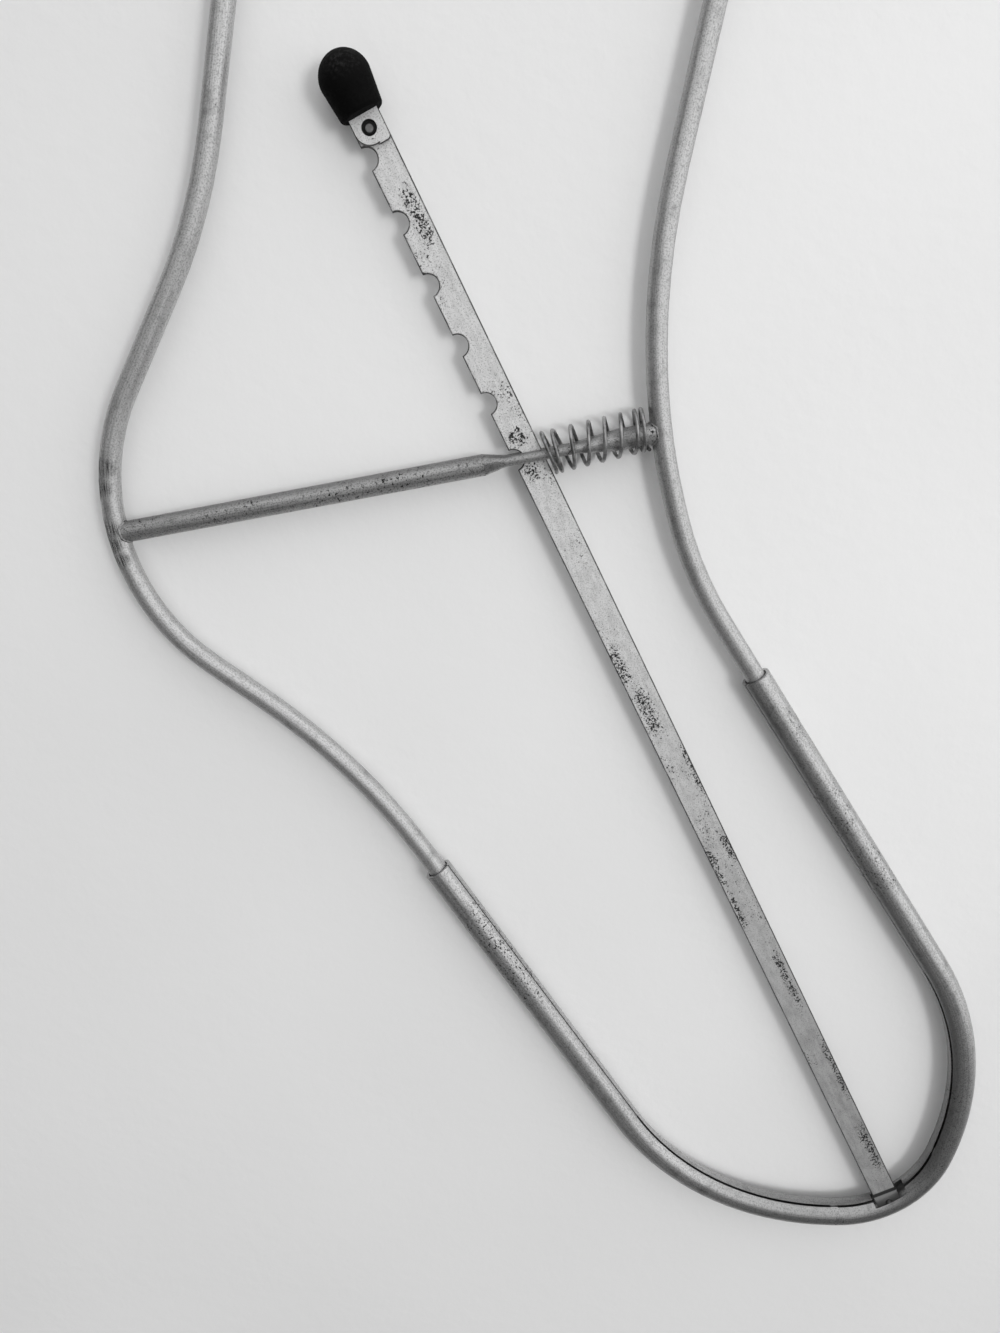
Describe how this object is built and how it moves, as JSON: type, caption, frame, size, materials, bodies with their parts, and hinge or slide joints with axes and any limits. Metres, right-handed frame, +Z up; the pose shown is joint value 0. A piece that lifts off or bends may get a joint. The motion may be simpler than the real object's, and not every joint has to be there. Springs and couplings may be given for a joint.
{
  "type": "sock stretcher",
  "caption": "Flat wire-frame sock stretcher in the outline of a foot and leg, with a sliding tubular toe set to length by a sprung notched strip.",
  "frame": {"origin": "inside top of the leg frame's bow, where it hangs on a peg", "axes": "+Z up along the legs, +X towards the toe, +Y towards the wall behind; the frame lies in the XZ plane"},
  "size_m": [0.2319, 0.011, 0.3714],
  "materials": {
    "rod_aluminium": "worn satin",
    "bar_aluminium": "dull, drawn",
    "tube_aluminium": "worn satin with streaks",
    "strip_aluminium": "matt with dark pits",
    "rivet_aluminium": "dull",
    "spring_steel": "bare wire",
    "pin_steel": "bare",
    "knob_rubber": "matt black"
  },
  "bodies": {
    "leg_frame": {"leg_rod": "rod_aluminium", "crossbar": "bar_aluminium", "return_spring": "spring_steel"},
    "toe": {"toe_tube": "tube_aluminium"},
    "anchor": {"anchor_pin": "pin_steel"},
    "strip": {"adjuster_strip": "strip_aluminium", "knob_tang": "strip_aluminium", "knob_rivet": "rivet_aluminium", "knob": "knob_rubber"}
  },
  "joints": [
    {"name": "toe_slide", "type": "slide", "parent": "leg_frame", "child": "toe", "axis": [0.7071, 0, -0.7071], "range_m": [0, 0.06387]},
    {"name": "anchor_turn", "type": "hinge", "parent": "toe", "child": "anchor", "pos_m": [0.16027, 0, -0.35608], "axis": [0, -1, 0], "range_deg": [0, 1.62]},
    {"name": "strip_release", "type": "hinge", "parent": "anchor", "child": "strip", "pos_m": [0.16027, 0, -0.35608], "axis": [0, 1, 0], "range_deg": [-0.34, 1], "stiffness_Nm_per_rad": 2, "springref_deg": -1.72, "deforming": ["return_spring"]}
  ],
  "couplings": [
    {"joint": "anchor_turn", "follows": "toe_slide", "rad_per_m": 0.43699}
  ]
}
